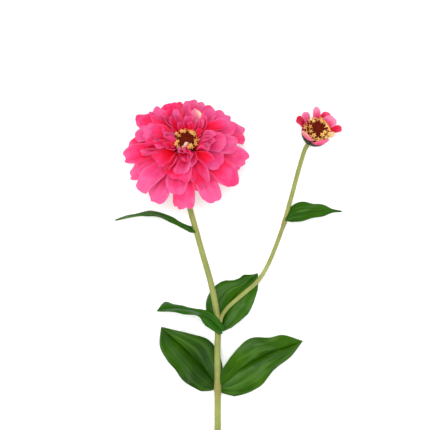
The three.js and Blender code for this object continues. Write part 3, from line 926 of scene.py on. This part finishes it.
# %% [markdown]
# ## Leaves
# A zinnia's leaves sit in pairs and clasp the stem. Three main veins run from the base to
# the tip in nearly parallel curves, and the blade swells up a little between them. The edge
# waves gently. The upper face has a soft gloss and pale streaks of painted sheen, the
# underside is paler, and so are the veins. Each leaf has a green of its own, which its tone
# sets; on the steep leaves that turn away from the lamps, a higher tone also lifts the green as painted
# light.

# %% Leaf finish
VEINS = [(0.0, 0.03), (0.4, 0.02)]  # |v| at a vein's middle, and half its width


def leaf_material():
    """Mottled green with fibres, painted sheen, pale veins, a dark edge and a pale underside.

    The painted sheen is pale streaks of noise, read at the point on the plant plus the stretched
    map, which makes them longer than wide and turns them with the leaf; they stand in for gloss
    highlights. Tone mixes in a clearer green, which on the steep leaves is painted light.
    """
    at = start_finish("leaf_green")
    side = abs(at.across - 0.5) * 2
    greens = [(0.3, (26, 60, 0)), (0.5, (42, 84, 0)), (0.72, (64, 108, 4))]
    color = ramp(noise(at.body, 28, 3), greens)
    fibres = noise(stretched(at.place, 3, 30), 1.2, 3)
    color = streaked(color, 0.5, fibres, 0.35, 0.65, (176, 190, 150))
    # Painted sheen: pale streaks in the green that stand in for gloss highlights.
    sheen_drift = {"Vector": at.body, "Scale": (30, 30, 30), "Location": stretched(at.place, 1.8, 7.5)}
    painted_sheen = mask(noise(node(color.tree, "Mapping", sheen_drift), 0.9, 1), 0.5, 0.7)
    color = mix(painted_sheen * 0.32, color, (98, 138, 66))
    # Tone: each leaf's own green, and on the steep leaves, which turn from the lamps, painted light that
    # lifts them.
    color = mix(at.tone * 0.7, color, (32, 94, 0))
    middle, outer = (1 - (abs(side - centre) / width).at_most(1) for centre, width in VEINS)
    veins = middle.at_least(outer) * (1 - at.along * 0.6)
    color = mix(veins * 0.25, color, (86, 124, 30))
    color = mix(mask(side, 0.93, 1.0) * 0.35, color, (44, 62, 24))
    color = mix(at.upper, mix(0.45, color, (118, 150, 90)), color)
    looks = {"Roughness": 0.38, "Specular IOR Level": 0.1, **scatter(0.1, (0.4, 1.0, 0.2), 1.0)}
    return finish(at, color, fibres * 0.5 - veins, 0.3, 0.3, looks)


leaf_green = leaf_material()

# %% [markdown]
# Each leaf is given one by one. midrib is its middle line, and facing is the way its upper side
# looks at the base, the middle and the tip. left and right are how far the blade reaches out
# on each side, at even steps from base to tip. fold tips each half up, in degrees, and droop
# bends its edge down again.

# %% Leaf outlines
# tone: each leaf's green; the high tones of the steep middle-left and upper-left leaves are partly
# painted light.
LEAVES = {
    "lower_left_leaf": dict(
        midrib=[(-11, -90.5, 6.4), (-17.5, -81.5, 5), (-24, -74, 4.4), (-31.5, -66, 4.6), (-40, -57.5, 6),
                (-48.5, -50, 8), (-56, -42, 10)],
        facing=[(0.1, 0.1, 1), (0.1, 0.1, 1), (0, -0.15, 1)],
        left=[10, 17, 19.5, 18, 17, 12.5, 0.3],
        right=[5, 15, 19.2, 19.6, 13, 7.6, 0.3],
        fold=9, droop=0.08, wave=1.3, swell=2.6, lobe=3, tone=0,
    ),
    "lower_right_leaf": dict(
        midrib=[(-7, -91.5, 8), (4.5, -82, 8.4), (15.5, -74, 8.6), (27, -67.5, 8.4), (38.5, -62.5, 7.6),
                (50, -58.5, 6.4), (62, -54, 5)],
        facing=[(0.1, -0.2, 1), (0.1, -0.22, 1), (0, -0.1, 1)],
        left=[3, 12, 17.6, 19.6, 13.4, 10.4, 0.3],
        right=[10, 19.5, 21.4, 17.2, 13, 8, 0.3],
        fold=9, droop=0.08, wave=1.3, swell=2.6, lobe=3.5, tone=0,
    ),
    "middle_left_leaf": dict(
        midrib=[(-5.8, -45, 12.4), (-10.6, -40.5, 14.6), (-16.5, -34.5, 15.2), (-23.5, -30.5, 15),
                (-34, -27.6, 14.6), (-46, -26.6, 14), (-59.5, -28.5, 13)],
        facing=[(0.25, 0.3, 1), (0.1, 1, 0.42), (0, 1, 0.7)],
        left=[4, 5.5, 7, 8.8, 11, 13, 13.4, 12.4, 11, 10, 9, 5, 0.3],
        right=[4, 5.5, 7, 8.4, 8.6, 8, 7, 3.6, 1.8, 4.2, 6.8, 9.8, 0.3],
        fold=18, droop=0.1, wave=1.4, swell=1.2, lobe=2, tone=0.8,
    ),
    "middle_right_leaf": dict(
        midrib=[(-6, -44, 6), (-3.5, -33.5, 4.6), (0, -24.5, 3.4), (5, -17, 2.8), (11, -10.5, 2.8),
                (18, -4, 3.6), (24.5, 2.5, 5)],
        facing=[(0, 0, 1), (0, 0, 1), (0.05, -0.05, 1)],
        left=[4, 11, 15.5, 18.2, 19.2, 18.8, 17.6, 15, 10.4, 8, 7.4, 3, 0.3],
        right=[4, 13.5, 17.4, 17.4, 15, 9.5, 0.3],
        fold=7, droop=0.08, wave=1.2, swell=1.8, lobe=2, tone=0.3,
    ),
    "upper_left_leaf": dict(
        midrib=[(-28, 38.2, 10.6), (-38, 42.3, 10.6), (-48, 47.6, 10.6), (-60, 51.6, 10.2),
                (-72, 52, 9.4), (-84, 50, 8.2), (-95, 47, 6)],
        facing=[(0.3, 1, 0.5), (0.1, 1, 0.28), (0, 1, 0.24)],
        left=[9, 7.5, 5, 3.8, 6.6, 7.4, 7.8, 7.4, 5, 3, 5.4, 3.6, 0.3],
        right=[7, 6, 4.6, 3.8, 6.6, 7.4, 7.8, 7.4, 5, 3, 5.4, 3.6, 0.3],
        fold=8, droop=0.08, wave=0.7, swell=0.8, lobe=1, tone=1,
    ),
    "upper_right_leaf": dict(
        midrib=[(47.6, 48, 9.2), (56, 52, 10), (64, 53.8, 10.4), (72, 54.6, 10.4), (80, 55, 9.6),
                (87.5, 54.8, 8.6), (95, 54.5, 7.4)],
        facing=[(0, 0.65, 1), (0, 0.65, 1), (0, 0.5, 1)],
        left=[3, 8.8, 10.2, 7.4, 5.6, 2, 0.3],
        right=[3, 7.8, 8.2, 6.4, 4.8, 1.8, 0.3],
        fold=8, droop=0.08, wave=0.7, swell=0.8, lobe=1, tone=0.4,
    ),
}
print("leaves:", len(LEAVES))

# %% Leaf surface
LEAF_STEPS = (72, 40)  # quads along and across


def leaf_sheet(u, v, leaf, phase):
    """The middle of a leaf: a midrib curve with a folded half on each side.

    At u, each half reaches out by its outline's width and rises by sin(fold), less a droop
    that grows with v squared. Each half swells between the midrib and the edge, by
    sin(pi |v|^0.8), and the edge waves by |v|^3 sin(waves). A groove runs along the midrib
    and a shallow one along the side vein. Near the base, each half also runs back past the
    midrib's foot, which gives the lobes that clasp the stem.
    """
    rib = spline(leaf["midrib"], u[:, 0])
    along = unit(np.gradient(rib, axis=0))
    up = spline(leaf["facing"], u[:, 0])
    up = unit(up - (up * along).sum(-1, keepdims=True) * along)
    across = np.cross(up, along)
    left, right = (spline(np.array(leaf[side])[:, None], u[:, 0]) for side in ("left", "right"))
    half = np.where(v > 0, left, right) * (0.25 + 0.75 * np.minimum(u / 0.07, 1) ** 0.6)
    side = np.abs(v)
    fold = math.radians(leaf["fold"])
    rise = half * side * math.sin(fold) - leaf["droop"] * half * side**2
    fade = np.sin(math.pi * u) ** 0.5
    swell = leaf["swell"] * fade * np.sin(math.pi * side**0.8)
    swell = swell + 0.3 * leaf["swell"] * fade * side * np.sin(9 * u + 2.5 * v + phase)
    groove = -1.2 * fade * np.exp(-((side / 0.05) ** 2))
    groove = groove - 0.35 * fade * np.exp(-(((side - 0.4) / 0.05) ** 2))
    wave = leaf["wave"] * fade * side**3 * np.sin(2 * math.pi * (2.6 * u + 0.23 * np.sign(v)) + phase)
    reach = half * v * math.cos(fold)
    back = leaf["lobe"] * side**1.5 * np.exp(-((u / 0.14) ** 2))
    points = rib[:, None] + across[:, None] * reach[..., None] - along[:, None] * back[..., None]
    points = points + up[:, None] * (rise + swell + groove + wave)[..., None]
    return press_on_table(points)


u, v = grid(*LEAF_STEPS)
thickness = 0.75 - 0.4 * np.abs(v) ** 2
for name, leaf in LEAVES.items():
    phase = rng.uniform(0, 6)
    rng.uniform()  # a spare draw, on which the phases of the leaves after this one depend
    part = sheet_part(leaf_sheet(u, v, leaf, phase), thickness, u, v, leaf["tone"])
    make_piece(name + "_blade", part, leaf_green, name)
print("quads in a leaf:", len(part["faces"]))

# %% [markdown]
# ## Stems
# The stem is pale olive, with low ridges along it and short hairs that only show as a soft
# roughness. It swells and browns where leaves grow from it. The lower end is cut straight,
# with a slightly rounded rim.

# %% Stem finish
def stem_material():
    """Olive with broad blotches and small flecks. Tone is how near a swollen joint is."""
    at = start_finish("stem_olive")
    olives = [(0.3, (128, 136, 58)), (0.6, (150, 158, 76)), (0.8, (168, 172, 98))]
    color = ramp(noise(at.body, 60, 4), olives)
    flecks = noise(stretched(at.place, 30, 1), 9, 3)
    color = streaked(color, 0.5, flecks, 0.35, 0.65, (206, 208, 180))
    color = mix(at.tone * 0.35, color, (138, 106, 52))
    looks = {"Roughness": 0.6, "Sheen Weight": 0.15}
    return finish(at, color, noise(at.body, 1400), 0.35, 0.2, looks)


stem_olive = stem_material()

# %% Stem routes
MAIN_ROUTE = [
    (-9, -148, 2.8), (-9, -120, 5.4), (-9, -91, 8), (-9.2, -62, 9.6), (-8.9, -40, 10.4),
    (-11.4, -20, 10.8), (-16, 0, 10.8), (-21.8, 20, 10.4), (-27.3, 40, 9.7), (-31.8, 56, 8.9),
    (-34.3, 72, 8.1), (-35, 84, 8.4), (-35, 91.5, 10.4), (-35, 96.2, 13.6),
]
SIDE_ROUTE = [
    (-7.8, -40, 10.3), (-5.2, -32, 10.7), (0.2, -24.8, 11), (7.6, -18.2, 11.1), (15.2, -11.8, 10.9),
    (22.8, -5.2, 10.6), (29.2, 3.3, 10.2), (34.8, 14, 9.6), (39.3, 25, 9), (43.5, 36.2, 8.3),
    (47.3, 47.2, 7.6), (50.6, 59.6, 6.7), (53.9, 71.2, 5.6), (56.8, 82, 4.4), (60.6, 95.2, 2.7),
    (64.2, 106.2, 1.85), (67.2, 111.4, 2.7), (69.5, 114.6, 4.8),
]
STEM_RINGS = 221
STEM_SIDES = 28

# %% Stem shapes
def near_joints(u, joints, width):
    """The sum over the joints of a bell: exp(-((u - joint) / width)^2)."""
    return sum(np.exp(-(((u - joint) / width) ** 2)) for joint in joints)


def make_stem(name, route, head, radii, joints, node_name):
    """A tube along a route that ends on a head's axis, just inside its cup.

    The radius runs evenly between two values, with a bell-shaped swelling at each joint and
    ridges of cos(7 angle). The ring at each step lies square to the route. Joints are shares
    of the stem's length.
    """
    ends = stand(np.array([[0, 0, head["foot"] - 2.5], [0, 0, head["foot"] + 0.3]]), head)
    dense = spline(np.concatenate([route, ends]), np.linspace(0, 1, 800))
    length = np.concatenate([[0], np.cumsum(np.linalg.norm(np.diff(dense, axis=0), axis=1))])
    share = np.linspace(0, 1, STEM_RINGS)
    middle = np.stack([np.interp(share * length[-1], length, dense[:, k]) for k in range(3)], -1)
    along = unit(np.gradient(middle, axis=0))
    side = unit(np.cross(along, (0, 0, 1)))
    up = np.cross(along, side)
    u, angle = ring_grid(STEM_RINGS, STEM_SIDES)
    radius = radii[0] + (radii[1] - radii[0]) * u + 0.45 * near_joints(u, joints, 0.018)
    radius = radius + 0.05 * np.cos(7 * angle + 3 * u) - 0.35 * np.exp(-(u / 0.002) ** 2)
    c, s = np.cos(angle)[..., None], np.sin(angle)[..., None]
    rings = middle[:, None] + (side[:, None] * c + up[:, None] * s) * radius[..., None]
    brown = np.append(np.clip(near_joints(u, joints, 0.04), 0, 1), [0, 0])
    make_piece(name, loft_part(rings, brown), stem_olive, node_name)
    print(name, "length, mm:", round(float(length[-1]), 1))


make_stem("main_stem_skin", MAIN_ROUTE, BLOOM, (2.8, 2.2), (0.215, 0.42), "main_stem")
make_stem("side_stem_skin", SIDE_ROUTE, BUD, (1.65, 1.8), (0.0, 0.574), "side_stem")
